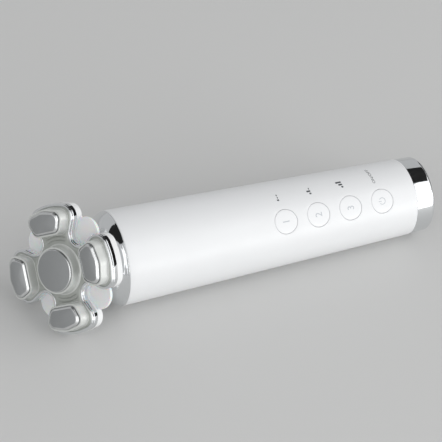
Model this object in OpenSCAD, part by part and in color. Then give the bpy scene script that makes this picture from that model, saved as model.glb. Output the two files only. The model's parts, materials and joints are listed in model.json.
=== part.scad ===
// Facial toning device, lying on a table with its keys turned up and to the front.
// Millimetres, +Z up. The origin is under the middle of the device, on the table.
// Each piece is drawn in the handle's own frame: z runs along the handle from the
// flat end of the tail cap, x points out of the keys, and y runs across them.

/* [Handle] */
// Length of the white handle shell
handle_len = 140.5; // [130:0.5:150]
// Outer diameter of the shell at the head end
front_d = 42; // [41:0.5:44]
// Outer diameter of the shell at the tail end
rear_d = 34.8; // [34.5:0.1:36]
// Wall thickness of the shell
shell_wall = 2.2; // [2:0.1:2.4]
// Length of the chrome tail cap
cap_len = 9.5; // [9:0.1:11]
// Radius of the tail cap's rounded end edge
cap_edge_r = 2; // [1:0.1:2.5]

/* [Keys] */
// Diameter of the round keys
key_d = 10.7; // [9.5:0.1:11.5]
// Gap around a key
key_gap = 0.2; // [0.15:0.05:0.3]
// Distance between neighbouring keys
key_pitch = 16; // [14:0.1:17]
// Distance from the tail end to the power key
power_key_z = 26.9; // [24:0.1:30]
// How far a key is pressed
key_travel = 0.4; // [0.2:0.05:0.5]

/* [Collar and neck] */
// Radius of the collar's domed shoulder
dome_r = 11.45; // [10:0.05:12]
// Outer diameter of the neck
neck_d = 18.8; // [16:0.1:19]
// Distance from the handle's front edge to the bend in the neck
bend_reach = 15.1; // [14:0.1:18]
// Angle between the head and the handle
head_tilt = 31.2; // [20:0.1:35]

/* [Head] */
// Distance across two opposite petals
head_d = 56; // [54:0.5:58]
// Distance from the bend to the face of the middle electrode
head_reach = 17.2; // [17:0.1:20]
// Angle at which a petal's sides spread
petal_flare = 30; // [28:0.5:31]
// Radius of a petal's outer corners
petal_corner_r = 5.5; // [5:0.1:6]
// Radius at the bottom of the notch between petals
notch_r = 4.7; // [4.4:0.1:4.8]
// Height of the chrome band
band_h = 3.4; // [3:0.1:4]
// Height of the white back shell
back_h = 4.1; // [3.9:0.1:4.4]
// Depth of the plate edge behind the middle electrode
plate_depth = 5.6; // [5:0.1:6]
// Thickness of the light guide
guide_t = 1.5; // [1.2:0.1:1.7]
// Radius of a lobe of the light guide
guide_lobe_r = 6.9; // [6.9:0.1:7.5]

/* [Electrodes] */
// Diameter of the middle electrode
centre_d = 18.4; // [16:0.1:19]
// Outer radius that the petal electrodes reach
petal_reach = 25; // [24:0.1:25]
// Height of the petal electrodes over the middle one
petal_lift = 1; // [0.6:0.1:2]
// Width of the rim around an electrode
rim_w = 0.9; // [0.6:0.1:1]
// Height that a petal electrode stands over its rim
proud = 1.9; // [1.7:0.1:2.3]

/* [Hidden] */

$fn = 96;
eps = 0.01;

// Attitude on the table: the shell lies along its side, rolled until a petal touches too
seam_line = 0.25;            // chamfer that shows as a thin line at each end of the shell
rest_pitch = atan((front_d - rear_d) / 2 / (handle_len - 2 * seam_line));
key_rise = 47.62;            // angle of the keys over the table
rest_h = rear_d / 2 * cos(rest_pitch) - (cap_len + seam_line) * sin(rest_pitch);
rest_place = [96.22, 2.91, rest_h];     // middle of the tail cap's flat end

// Colours
white_abs = "#F1F2F2";
pearl_abs = "#E6E7E5";
chrome = "#D5D8DA";
satin_silver = "#9A9D9F";
pearl_silver = "#B9BCBB";
milky_clear = "#DCE6EA";
dark_abs = "#3A3C3F";
board_green = "#1F6B45";
steel = "#A9ADB0";
black_part = "#1D1E20";
cell_blue = "#2B6FA8";
nickel = "#C9C6BC";
silicone = "#5A5E62";
copper = "#B8733D";
lamp_clear = "#F4F6DA";

// Stations along the handle
seam_z = cap_len + handle_len;
bend_z = seam_z + bend_reach;

function outer_r(z) = (rear_d + (front_d - rear_d) * (z - cap_len) / handle_len) / 2;
function inner_r(z) = outer_r(z) - shell_wall;

// Keys, from the power key towards the head
function key_z(i) = power_key_z + i * key_pitch;
key_flange = 1;              // how far the flange stands out behind the wall
key_flange_t = 1.2;
key_slack = 0.1;             // between the flange and the wall
key_foot_d = 3.4;

// Inner frame, with the board under the keys and the cell under the board
board_x = 8;                 // top of the main board
board_t = 1.6;
board_w = 22;
board_z0 = 18;
board_z1 = 112;
rail_t = 1.6;
chassis_z0 = 15.5;
chassis_z1 = 128;
disc_t = 2;
disc_slack = 0.15;
cell_d = 14.2;
cell_len = 50;
cell_x = -2.4;
cell_z0 = 22;
cradle_t = 1.2;
switch_w = 6;
switch_h = 3.1;
switch_button_d = 3.4;
switch_slack = 0.1;          // between a pressed key's foot and its switch
screw_d = 2;
screw_head_d = 3.8;
screw_head_t = 1.2;

// Vibration motor on the handle's axis, ahead of the inner frame
motor_d = 12;
motor_len = 14;
motor_z0 = chassis_z1 + 1.5;
motor_z1 = motor_z0 + motor_len;
shaft_d = 2;
shaft_slack = 0.05;
weight_r = 5.6;
weight_t = 5.5;
weight_z0 = motor_z1 + 1;
lead_d = 2.4;

// Collar
collar_t = 1.5;
collar_band = 1;             // narrow sloping band next to the shell
collar_spigot = 6;
collar_spigot_r = inner_r(seam_z - collar_spigot) - 0.1;
dome_ring_r = front_d / 2 - 0.37 - sqrt(pow(dome_r, 2) - pow(collar_band + 2.87, 2));
dome_drop = 2.87;            // the dome's centre lies this far behind the seam
neck_t = 1.9;

// Heights in the head's frame, whose z axis starts at the bend
face_h = head_reach;                    // top of the middle electrode
plate_h = face_h - plate_depth;         // edge of the face plate
band_h0 = plate_h - band_h;
back_h0 = band_h0 - back_h;
floor_h = back_h0 + 1.2;
guide_top = floor_h + guide_t;
guide_disc_r = 13;           // disc that joins the lobes of the light guide
lead_hole_r = 5;
plate_t = 1.6;
band_t = 1.2;
petal_face_h = face_h + petal_lift;
light_board_h = guide_top + 0.7;
light_board_t = 1;
light_board_gap = 3.4;       // from the head's outline to the edge of the light board
head_boss_u = 22.3;          // place of a screw boss on a petal
head_screw_d = 1.6;
back_gap = 0.1;              // from the band's outline to the back shell's
back_edge_r = 1.2;
back_wall = 1.8;

// Petal outline
petal_r = head_d / 2;
tip_arc = 12;                // half angle of the round tip
petal_half_w = 7.8;          // half width of a petal at waist_u
waist_u = 13.4;
arc_step = 13;               // largest turn between two points of a round corner

function unit(v) = v / norm(v);
function turned(p, a) = [p.x * cos(a) - p.y * sin(a), p.x * sin(a) + p.y * cos(a)];
function left_of(v) = [-v.y, v.x];
function wrap(a) = a > 180 ? a - 360 : a < -180 ? a + 360 : a;

// Corners of a counter-clockwise polygon moved inwards by g
function inset(p, g) = let (n = len(p)) [
    for (i = [0 : n - 1]) let (
        a = left_of(unit(p[i] - p[(i + n - 1) % n])),
        b = left_of(unit(p[(i + 1) % n] - p[i])))
    p[i] + (a + b) * g / (1 + a * b)
];

// Arc of radius r that rounds corner p between its neighbours a and b
function corner_arc(a, p, b, r) = let (
    u = unit(a - p), v = unit(b - p),
    half = acos(u * v) / 2,
    c = p + unit(u + v) * r / sin(half),
    s = p + u * r / tan(half) - c,
    e = p + v * r / tan(half) - c,
    a0 = atan2(s.y, s.x),
    sweep = wrap(atan2(e.y, e.x) - a0),
    steps = max(4, round(abs(sweep) / arc_step)))
    [for (i = [0 : steps]) c + r * [cos(a0 + sweep * i / steps), sin(a0 + sweep * i / steps)]];

// Polygon with corners p rounded to radii r, moved inwards by g
function rounded(p, r, g = 0) = let (n = len(p), q = inset(p, g)) [
    for (i = [0 : n - 1]) let (
        before = p[(i + n - 1) % n], after = p[(i + 1) % n],
        bend = sign((p[i] - before).x * (after - p[i]).y - (p[i] - before).y * (after - p[i]).x))
    each corner_arc(q[(i + n - 1) % n], q[i], q[(i + 1) % n], max(0.1, r[i] - bend * g))
];

// Each petal's corners: tip, side corner, notch, side corner of the next petal
function side_w(u) = petal_half_w + tan(petal_flare) * (u - waist_u);
notch_u = (petal_half_w - tan(petal_flare) * waist_u) / (1 - tan(petal_flare));
notch_d = notch_u * sqrt(2) + notch_r / sin(45 - petal_flare);  // middle of the notch's arc
tip_u = petal_r / cos(tip_arc);
corner_u = (petal_r - sin(tip_arc) * side_w(0)) / (cos(tip_arc) + sin(tip_arc) * tan(petal_flare));
petal_corners = [
    for (k = [0 : 3]) each [
        turned([tip_u, 0], 90 * k), turned([corner_u, side_w(corner_u)], 90 * k),
        turned([notch_u, notch_u], 90 * k), turned([side_w(corner_u), corner_u], 90 * k)
    ]
];
petal_radii = [for (k = [0 : 3]) each [petal_r, petal_corner_r, notch_r, petal_corner_r]];
function petals(g = 0) = rounded(petal_corners, petal_radii, g);

// A petal electrode's corners: inner pair, outer pair and soft tip
electrode_inner_u = 15.6;
electrode_inner_w = 6.4;     // half width at the inner corners
electrode_flare = 23;
electrode_tip_arc = 12;
function electrode_w(u) = electrode_inner_w + tan(electrode_flare) * (u - electrode_inner_u);
electrode_tip_u = petal_reach / cos(electrode_tip_arc);
electrode_corner_u = (petal_reach - sin(electrode_tip_arc) * electrode_w(0))
    / (cos(electrode_tip_arc) + sin(electrode_tip_arc) * tan(electrode_flare));
electrode_corners = [
    [electrode_inner_u, -electrode_inner_w],
    [electrode_corner_u, -electrode_w(electrode_corner_u)],
    [electrode_tip_u, 0],
    [electrode_corner_u, electrode_w(electrode_corner_u)],
    [electrode_inner_u, electrode_inner_w]
];
electrode_radii = [3, 3, 8, 3, 3];
function electrode(g = 0) = rounded(electrode_corners, electrode_radii, g);

// Electrodes: bevel, crowned face, and the depth that sits in the rim
bevel_w = 1.05;
bevel_h = 0.75;
crown = 0.7;
seat_depth = 0.7;
electrode_t = proud + seat_depth;
centre_bevel = 0.4;
centre_seat_depth = 1.1;
centre_edge_r = centre_d / 2 - centre_bevel;
crown_r = (pow(centre_edge_r, 2) + pow(crown, 2)) / (2 * crown);
centre_rim_h = face_h - crown - centre_bevel - 0.2;
stud_d = 3;
stud_u = 18;                 // place of a petal electrode's stud

// Solid skinned over rings of points: closed at both ends by fans round the middle of the end
// rings, or closed back on the first ring
module skin(rings, closed = false) {
    n = len(rings[0]);
    count = len(rings);
    foot = n * count;
    sides = [
        for (k = [0 : count - (closed ? 1 : 2)]) for (i = [0 : n - 1]) let (
            a = k * n + i, b = k * n + (i + 1) % n,
            c = (k + 1) % count * n + i, d = (k + 1) % count * n + (i + 1) % n)
        each [[a, d, b], [a, c, d]]
    ];
    fans = [for (i = [0 : n - 1]) each [
        [foot, i, (i + 1) % n], [foot + 1, foot - n + (i + 1) % n, foot - n + i]]];
    middles = [mean(rings[0]), mean(rings[count - 1])];
    polyhedron(
        points = concat([for (r = rings) each r], closed ? [] : middles),
        faces = concat(sides, closed ? [] : fans), convexity = 6);
}

function mean(p) = [for (i = [1 : len(p)]) 1] * p / len(p);

// Outline p at height h
function ring(p, h) = [for (q = p) [q.x, q.y, h]];

// Places the handle's frame on the table, with the head towards -X
module laid_down() {
    translate(rest_place)
        rotate([0, rest_pitch, 0])
            rotate([90 - key_rise, 0, 0])
                rotate([0, -90, 0])
                    children();
}

// Places the head's frame at the bend in the neck
module in_head() {
    laid_down() translate([0, 0, bend_z]) rotate([0, head_tilt, 0]) children();
}

module petal_prism(h0, h1, g = 0) {
    translate([0, 0, h0]) linear_extrude(h1 - h0) polygon(petals(g));
}

// Solid cone with the shell's taper, smaller than its outside by inward
module taper(z0, z1, inward = 0) {
    translate([0, 0, z0])
        cylinder(h = z1 - z0, r1 = outer_r(z0) - inward, r2 = outer_r(z1) - inward);
}

// Cylinder that lies along x from x0 to x1 at height z
module along_x(x0, x1, z, d) {
    translate([x0, 0, z]) rotate([0, 90, 0]) cylinder(h = x1 - x0, d = d);
}

module box(low, high) {
    translate(low) cube(high - low);
}

// ---- Handle ----

module handle_shell() {
    laid_down() color(white_abs) difference() {
        union() {
            difference() {
                rotate_extrude() polygon([
                    [0, cap_len], [outer_r(cap_len) - seam_line, cap_len],
                    [outer_r(cap_len), cap_len + seam_line],
                    [outer_r(seam_z), seam_z - seam_line],
                    [outer_r(seam_z) - seam_line, seam_z], [0, seam_z]]);
                taper(cap_len - 1, seam_z + 1, shell_wall);
            }
            // Rails that guide the inner frame
            for (side = [-1, 1])
                intersection() {
                    taper(chassis_z0 + disc_t + 1, chassis_z1 - disc_t - 1, shell_wall - 0.5);
                    box([board_x - board_t - rail_t, side * (inner_r(cap_len) - 0.4) - 3, chassis_z0],
                        [board_x - board_t, side * (inner_r(cap_len) - 0.4) + 3, chassis_z1]);
                }
        }
        for (i = [0 : 3]) along_x(0, front_d, key_z(i), key_d + 2 * key_gap);
    }
}

// Chrome tail cap, a cup with a flat end
module end_cap() {
    cap_r = rear_d / 2 - 0.1;
    laid_down() color(chrome) difference() {
        rotate_extrude() difference() {
            union() {
                polygon([
                    [0, 0], [cap_r - cap_edge_r, 0], [cap_r - 0.2, cap_edge_r],
                    [cap_r, cap_len - 0.2], [cap_r - 0.2, cap_len], [0, cap_len]]);
                intersection() {
                    translate([cap_r - 0.2 - cap_edge_r, cap_edge_r]) circle(cap_edge_r);
                    square([cap_r, cap_edge_r]);
                }
            }
            translate([0, 1.5]) square([cap_plug_r, cap_len]);
        }
        charge_slot(4.7, 1.85);
    }
}
cap_plug_r = rear_d / 2 - 1.6;

// Opening of the charging socket: a slot with round ends
module charge_slot(half_w, half_t) {
    translate([0, 0, -1]) linear_extrude(4) union() {
        square([2 * half_t, 2 * (half_w - half_t)], center = true);
        for (side = [-1, 1]) translate([0, side * (half_w - half_t)]) circle(half_t);
    }
}

// Plug that carries the charging board and closes the handle's tail
module cap_plug() {
    laid_down() color(dark_abs) difference() {
        rotate_extrude() difference() {
            polygon([
                [0, 1.5], [cap_plug_r, 1.5], [cap_plug_r, cap_len], [plug_spigot_r, cap_len],
                [plug_spigot_r, plug_top], [0, plug_top]]);
            square([10.2, 3]);
            translate([0, 3]) square([11.6, plug_top]);
            translate([plug_spigot_r - 0.9, cap_len + 1.6]) square([1, 1.6]);
        }
        // Slots that hold the edges of the charging board
        box([-3.2, -13, 3], [-2.2, 13, plug_top + 1]);
    }
}
plug_top = cap_len + 5;
plug_spigot_r = inner_r(cap_len) - 0.1;

// Ring that fills a groove cut 0.9 deep in a spigot of radius r
module seal_ring(r) {
    rotate_extrude() translate([r - 0.42, 0]) circle(0.47, $fn = 32);
}

// Sealing ring in the plug's groove
module cap_seal() {
    laid_down() color(silicone)
        translate([0, 0, cap_len + 2.4]) seal_ring(plug_spigot_r);
}

module charge_board() {
    laid_down() color(board_green) box([-3.2, -12.6, 3], [-2.2, 12.6, plug_top]);
}

// Metal shell of the charging socket with its tongue
module charge_socket() {
    laid_down() color(steel) union() {
        difference() {
            translate([0, 0, 1.6]) linear_extrude(7.4) socket_outline(4.47, 1.63);
            translate([0, 0, 1.5]) linear_extrude(6.6) socket_outline(4.17, 1.33);
        }
        box([-0.35, -3.3, 2.6], [0.35, 3.3, 8.4]);
        box([-2.2, -3.8, 5], [-1.5, 3.8, 9]);
    }
}

module socket_outline(half_w, half_t) {
    square([2 * half_t, 2 * (half_w - half_t)], center = true);
    for (side = [-1, 1]) translate([0, side * (half_w - half_t)]) circle(half_t);
}

// ---- Inner frame ----

module chassis() {
    under = board_x - board_t;
    half_w = board_w / 2;
    laid_down() color(dark_abs) difference() {
        union() {
            // Deck under the board, with side walls that reach down past the cell
            box([under - rail_t, -half_w, chassis_z0], [under, half_w, chassis_z1]);
            for (side = [-1, 1]) {
                y = side * (cell_d / 2 + cradle_t / 2 + 0.1);
                box([cell_x, y - cradle_t / 2, chassis_z0], [under - 0.1, y + cradle_t / 2, chassis_z1]);
            }
            // End discs that fit the shell
            for (z = [chassis_z0, chassis_z1 - disc_t])
                translate([0, 0, z]) cylinder(h = disc_t, r = inner_r(z) - disc_slack);
            // Ribs that seat the ends of the cell
            for (z = [cell_z0 - 3.5, cell_z0 + cell_len + 2])
                box([cell_x - 5, -cell_d / 2 - 0.6, z], [under - 0.1, cell_d / 2 + 0.6, z + 1.5]);
        }
        // Cell bay, way for the leads and room over the board
        along_cell(cell_z0 - 2, cell_z0 + cell_len + 2, cell_d + 0.2);
        translate([-10.5, 0, chassis_z1 - disc_t - 1]) cylinder(h = disc_t + 2, d = lead_d + 1);
        box([under, -half_w - 0.1, chassis_z0 - 1], [front_d, half_w + 0.1, chassis_z0 + disc_t + 1]);
        for (p = board_screw_places)
            translate([0, p.x, 0]) along_x(under - rail_t - 1, under + 1, p.y, screw_d);
    }
}

module along_cell(z0, z1, d) {
    translate([cell_x, 0, z0]) cylinder(h = z1 - z0, d = d);
}

// Screws in the board's corners, as [y, z]
board_screw_places = [
    [-8.6, board_z0 + 3], [8.6, board_z0 + 3], [-8.6, board_z1 - 3], [8.6, board_z1 - 3]
];

module screw(head_x, foot_x, y, z) {
    translate([0, y, 0]) {
        along_x(head_x, head_x + screw_head_t, z, screw_head_d);
        along_x(foot_x, head_x, z, screw_d);
    }
}

module main_board() {
    laid_down() color(board_green) difference() {
        box([board_x - board_t, -board_w / 2, board_z0], [board_x, board_w / 2, board_z1]);
        for (p = board_screw_places)
            translate([0, p.x, 0]) along_x(board_x - board_t - 1, board_x + 1, p.y, screw_d);
    }
}

module board_screws() {
    laid_down() color(steel)
        for (p = board_screw_places) screw(board_x, board_x - board_t - rail_t, p.x, p.y);
}

// Height of a switch's own button, so that each key has the same play
function foot_x(i) = inner_r(key_z(i)) - key_slack - key_flange_t - 1.6;
function button_x(i) = foot_x(i) - key_travel - switch_slack;

module tact_switches() {
    laid_down() color(black_part)
        for (i = [0 : 3]) {
            z = key_z(i);
            box([board_x, -switch_w / 2, z - switch_w / 2],
                [board_x + switch_h, switch_w / 2, z + switch_w / 2]);
            along_x(board_x + switch_h - eps, button_x(i), z, switch_button_d);
        }
}

// Chips, capacitors and connectors on the board
module board_parts() {
    laid_down() color(black_part) {
        box([board_x, -4, 90], [board_x + 1.2, 4, 98]);
        box([board_x, -3, 101], [board_x + 3.2, 5, 106]);
        for (z = [36, 52, 68])
            for (side = [-1, 1])
                box([board_x, side * 6 - 1.2, z - 2], [board_x + 1.4, side * 6 + 1.2, z + 2]);
    }
}

// Ferrite core with its winding, for the treatment current
module boost_transformer() {
    laid_down() color(copper) {
        box([board_x, -6, 82], [board_x + 1.5, 2, 88.8]);
        along_x(board_x + 1.4, board_x + 4.6, 85.4, 5.6);
    }
}

module battery() {
    laid_down() color(cell_blue) {
        along_cell(cell_z0, cell_z0 + cell_len, cell_d);
        along_cell(cell_z0 + cell_len, cell_z0 + cell_len + 1, 6);
    }
}

module battery_tabs() {
    laid_down() color(nickel) {
        box([cell_x - 4, -4, cell_z0 - 0.5], [cell_x + 4, 4, cell_z0]);
        box([cell_x - 4, -4, cell_z0 + cell_len + 1], [cell_x + 4, 4, cell_z0 + cell_len + 1.5]);
    }
}

// ---- Keys ----

// Key i counted from the tail: a cap flush with the shell, a flange behind the wall and a foot
module key(i) {
    z = key_z(i);
    flange_x = inner_r(z) - key_slack - key_flange_t;
    laid_down() color(white_abs) union() {
        intersection() {
            along_x(flange_x - 1, front_d, z, key_d);
            taper(z - key_d, z + key_d, 0.03);
        }
        intersection() {
            along_x(flange_x - 1, front_d, z, key_d + 2 * (key_gap + key_flange));
            taper(z - key_d, z + key_d, shell_wall + key_slack);
        }
        along_x(foot_x(i), flange_x, z, key_foot_d);
    }
}

module power_key() { key(0); }
module key_3() { key(1); }
module key_2() { key(2); }
module key_1() { key(3); }

// ---- Vibration drive ----

module motor_cradle() {
    laid_down() color(dark_abs) difference() {
        union() {
            translate([0, 0, chassis_z1]) cylinder(h = 1.5, r = 13);
            translate([0, 0, chassis_z1]) cylinder(h = 13, d = motor_d + 3.2);
        }
        translate([0, 0, motor_z0]) cylinder(h = motor_len, d = motor_d);
        translate([-10.5, 0, chassis_z1 - 1]) cylinder(h = 4, d = lead_d + 1);
        // Slots that let the cradle's wall spring
        for (a = [45, 135])
            rotate(a) box([-motor_d, -0.8, motor_z0 + 3], [motor_d, 0.8, motor_z1]);
    }
}

module vibration_motor() {
    laid_down() color(steel) difference() {
        union() {
            translate([0, 0, motor_z0]) cylinder(h = motor_len - 0.6, d = motor_d);
            translate([0, 0, motor_z1 - 0.6]) cylinder(h = 0.6, d = 5);
        }
        translate([0, 0, motor_z1 - 9]) cylinder(h = 10, d = shaft_d + 2 * shaft_slack);
    }
}

module motor_shaft() {
    laid_down() color(steel)
        translate([0, 0, motor_z1 - 8.8]) cylinder(h = 8.8 + 1 + weight_t + 0.5, d = shaft_d);
}

// Half-round weight, pressed on the shaft
module eccentric_weight() {
    laid_down() color(nickel)
        translate([0, 0, weight_z0]) linear_extrude(weight_t) difference() {
            union() {
                intersection() {
                    circle(weight_r);
                    translate([0, -weight_r]) square([weight_r, 2 * weight_r]);
                }
                circle(2.4);
            }
            circle(d = shaft_d);
        }
}

// Lead from the main board, past the motor and up through the neck
module head_lead() {
    stops = [
        [-10.5, 0, board_z1 + 2], [-10.5, 0, seam_z - 6], [-5.4, 0, seam_z + 4.5],
        [-3.5, 0, bend_z - 3], head_point([-3, 0, floor_h]), head_point([-3, 0, light_board_h])
    ];
    last = len(stops) - 1;
    laid_down() color(black_part) skin([
        for (k = [0 : last])
            section(stops[k], unit(stops[min(k + 1, last)] - stops[max(k - 1, 0)]), lead_d / 2)
    ]);
}

// Ring of points round p, square to direction v in the plane of the keys
function section(p, v, r) = [
    for (a = [0 : 30 : 330]) p + r * (cos(a) * [v.z, 0, -v.x] + sin(a) * [0, 1, 0])
];

// A point of the head's frame, given in the handle's frame
function head_point(p) = [
    p.x * cos(head_tilt) + p.z * sin(head_tilt), p.y,
    bend_z - p.x * sin(head_tilt) + p.z * cos(head_tilt)
];

// ---- Collar and neck ----

// Chrome collar: a narrow sloping band, then a dome with a round hole for the neck
module collar() {
    base_r = front_d / 2 - 0.1;
    laid_down() color(chrome) rotate_extrude() difference() {
        union() {
            dome_profile(base_r, dome_r);
            translate([collar_spigot_r - 2, seam_z - collar_spigot])
                square([2, collar_spigot + 1]);
        }
        translate([0, seam_z + eps]) dome_hollow();
        translate([0, seam_z - collar_spigot - 1]) square([collar_spigot_r - 2, collar_spigot + 1.1]);
        translate([collar_spigot_r - 0.9, seam_z - 4]) square([1, 1.6]);
        translate([0, seam_z - 1]) square([neck_d / 2, dome_r + 4]);
    }
}

module dome_profile(base_r, r) {
    polygon([
        [0, seam_z], [base_r - seam_line, seam_z], [base_r, seam_z + seam_line],
        [base_r - 0.3, seam_z + collar_band], [0, seam_z + collar_band]]);
    intersection() {
        union() {
            translate([dome_ring_r, seam_z - dome_drop]) circle(r);
            translate([0, seam_z - dome_drop]) square([dome_ring_r, r]);
        }
        translate([0, seam_z]) square([base_r, r]);
    }
}

module dome_hollow() {
    intersection() {
        union() {
            translate([dome_ring_r, -dome_drop]) circle(dome_r - collar_t);
            translate([0, -dome_drop]) square([dome_ring_r, dome_r - collar_t]);
        }
        translate([0, -eps]) square([collar_spigot_r - 2, dome_r]);
    }
}

module collar_seal() {
    laid_down() color(silicone)
        translate([0, 0, seam_z - 3.2]) seal_ring(collar_spigot_r);
}

// Hollow elbow from the collar to the back of the head
module neck() {
    foot_z = seam_z - dome_drop + dome_r - collar_t - 2;
    laid_down() color(white_abs) difference() {
        union() {
            translate([0, 0, foot_z]) cylinder(h = bend_z - foot_z, d = neck_d);
            translate([0, 0, foot_z]) cylinder(h = 2, d = neck_d + 1.6);
            translate([0, 0, bend_z]) sphere(d = neck_d);
            translate([0, 0, bend_z]) rotate([0, head_tilt, 0]) cylinder(h = back_h0, d = neck_d);
        }
        translate([0, 0, foot_z - 1]) cylinder(h = bend_z - foot_z + 1, d = neck_d - 2 * neck_t);
        translate([0, 0, bend_z]) sphere(d = neck_d - 2 * neck_t);
        translate([0, 0, bend_z]) rotate([0, head_tilt, 0]) {
            cylinder(h = back_h0 + 1, d = neck_d - 2 * neck_t);
            translate([0, 0, back_h0]) cylinder(h = neck_d, d = 2 * neck_d);
        }
    }
}

// ---- Head ----

// White back shell: petals with a rounded back edge, hollow, with bosses for the light board
module head_back_shell() {
    in_head() color(white_abs) difference() {
        union() {
            skin([
                ring(petals(back_gap + back_wall), back_h0),
                for (a = [0 : 22.5 : 90]) let (inward = back_edge_r * (1 - sin(a)))
                    ring(petals(back_gap + inward), back_h0 + back_edge_r * (1 - cos(a))),
                ring(petals(back_gap), band_h0), ring(petals(back_gap + back_wall), band_h0)
            ], closed = true);
            petal_prism(back_h0 + eps, floor_h, back_gap + back_edge_r + 0.3);
            for (a = [0 : 90 : 270])
                rotate(a) translate([head_boss_u, 0, floor_h - 0.2])
                    cylinder(h = light_board_h - floor_h + 0.2, d = 4.6);
        }
        translate([0, 0, back_h0 - 1]) cylinder(h = 4, d = neck_d - 2 * neck_t);
        for (a = [0 : 90 : 270])
            rotate(a) translate([head_boss_u, 0, floor_h + 0.4]) cylinder(h = 4, d = head_screw_d);
        translate([0, 0, floor_h]) linear_extrude(back_h) guide_slots();
    }
}

// Four round lobes, one in each notch between two petals
module guide_lobes() {
    for (a = [45 : 90 : 315]) rotate(a) translate([notch_d, 0]) circle(guide_lobe_r);
}

// Twelve-sided openings in the shell's wall around the lobes
module guide_slots() {
    for (a = [45 : 90 : 315])
        rotate(a) translate([notch_d, 0]) circle(guide_lobe_r / cos(15), $fn = 12);
}

// Translucent light guide on the shell's floor: the lobes show between the petals, the lead
// passes the middle, and a lip over each lobe closes the shell's wall up to the band
module light_guide() {
    in_head() color(milky_clear) union() {
        translate([0, 0, floor_h]) linear_extrude(guide_t) difference() {
            union() {
                guide_lobes();
                circle(guide_disc_r);
            }
            circle(lead_hole_r);
        }
        translate([0, 0, guide_top]) linear_extrude(band_h0 - guide_top) intersection() {
            guide_slots();
            difference() {
                polygon(petals(back_gap));
                polygon(petals(back_gap + back_wall));
            }
        }
    }
}

module light_board() {
    in_head() color(board_green) difference() {
        petal_prism(light_board_h, light_board_h + light_board_t, light_board_gap);
        for (a = [0 : 90 : 270])
            rotate(a) translate([head_boss_u, 0, light_board_h - 1]) cylinder(h = 3, d = head_screw_d);
    }
}

module head_leds() {
    in_head() color(lamp_clear)
        for (a = [45 : 90 : 315])
            rotate(a) box([7, -1.4, guide_top], [9.8, 1.4, light_board_h]);
}

module head_screws() {
    in_head() color(steel)
        for (a = [0 : 90 : 270]) rotate(a) translate([head_boss_u, 0, 0]) {
            board_top = light_board_h + light_board_t;
            translate([0, 0, floor_h + 0.6]) cylinder(h = board_top - floor_h, d = head_screw_d);
            translate([0, 0, board_top]) cylinder(h = 0.9, d = 3);
        }
}

// Sprung pins between the light board and the electrodes' studs
module contact_pins() {
    top = plate_h - plate_t;
    in_head() color(nickel)
        for (p = [[0, 0], for (a = [0 : 90 : 270]) turned([stud_u, 0], a)])
            translate([p.x, p.y, light_board_h + light_board_t]) {
                cylinder(h = 0.8, d = 2.2);
                cylinder(h = top - light_board_h - light_board_t, d = 1.2);
            }
}

// Chrome band round the petals, with a fine bead along its front edge
module chrome_band() {
    bead_h = plate_h - 0.9;
    groove = 0.25;
    in_head() color(chrome) skin([
        ring(petals(band_t), band_h0), ring(petals(0), band_h0),
        ring(petals(0), bead_h - 2 * groove), ring(petals(groove), bead_h - 1.8 * groove),
        ring(petals(groove), bead_h - 0.2 * groove), ring(petals(0), bead_h),
        ring(petals(0), plate_h - 0.3), ring(petals(0.3), plate_h), ring(petals(band_t), plate_h)
    ], closed = true);
}

// Pearl face plate inside the band, with a fine groove along its edge and two fine steps
// around the middle
module face_plate() {
    groove = 0.3;
    step_w = 0.5;
    step_depth = 0.25;
    in_head() color(pearl_silver) difference() {
        union() {
            petal_prism(plate_h - plate_t, plate_h - groove, band_t);
            petal_prism(plate_h - groove - eps, plate_h, band_t + groove);
        }
        for (r = [12.2, 13.8])
            translate([0, 0, plate_h - step_depth]) linear_extrude(1) intersection() {
                difference() {
                    circle(r + step_w);
                    circle(r);
                }
                polygon(petals(band_t + 0.8));
            }
        for (p = [[0, 0], for (a = [0 : 90 : 270]) turned([stud_u, 0], a)])
            translate([p.x, p.y, plate_h - plate_t - 1]) cylinder(h = plate_t + 2, d = stud_d);
    }
}

// Round boss and rim of the middle electrode
module centre_rim() {
    r = centre_d / 2 + rim_w;
    top = centre_rim_h;
    in_head() color(pearl_abs) rotate_extrude() difference() {
        polygon([
            [stud_d / 2, plate_h], [r + 0.9, plate_h], [r + 0.3, plate_h + 0.5],
            [r, plate_h + 1.4], [r - 0.15, top - 0.2], [r - 0.35, top], [stud_d / 2, top]]);
        translate([0, top - centre_seat_depth]) square([centre_d / 2, 2 * centre_seat_depth]);
    }
}

// Round electrode with a slightly crowned face and a stud below

module centre_electrode() {
    r = centre_d / 2;
    foot = centre_rim_h - centre_seat_depth;
    in_head() color(satin_silver) rotate_extrude() intersection() {
        polygon([
            [0, plate_h - plate_t], [stud_d / 2, plate_h - plate_t], [stud_d / 2, foot],
            [r, foot], [r, face_h - crown - centre_bevel], [centre_edge_r, face_h - crown],
            [centre_edge_r, face_h], [0, face_h]]);
        translate([0, face_h - crown_r]) circle(crown_r);
    }
}

// Raised pad of petal k, with a recess that seats the electrode
module petal_rim(k) {
    top = petal_face_h - proud;
    in_head() rotate(90 * k) color(pearl_abs) difference() {
        skin([
            ring(electrode(-rim_w - 0.2), plate_h), ring(electrode(-rim_w), plate_h + 0.4),
            ring(electrode(-rim_w + 0.1), top - 0.25), ring(electrode(-rim_w + 0.3), top)
        ]);
        translate([0, 0, top - seat_depth]) linear_extrude(electrode_t) polygon(electrode());
        translate([stud_u, 0, plate_h - 1]) cylinder(h = 8, d = stud_d);
    }
}

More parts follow.
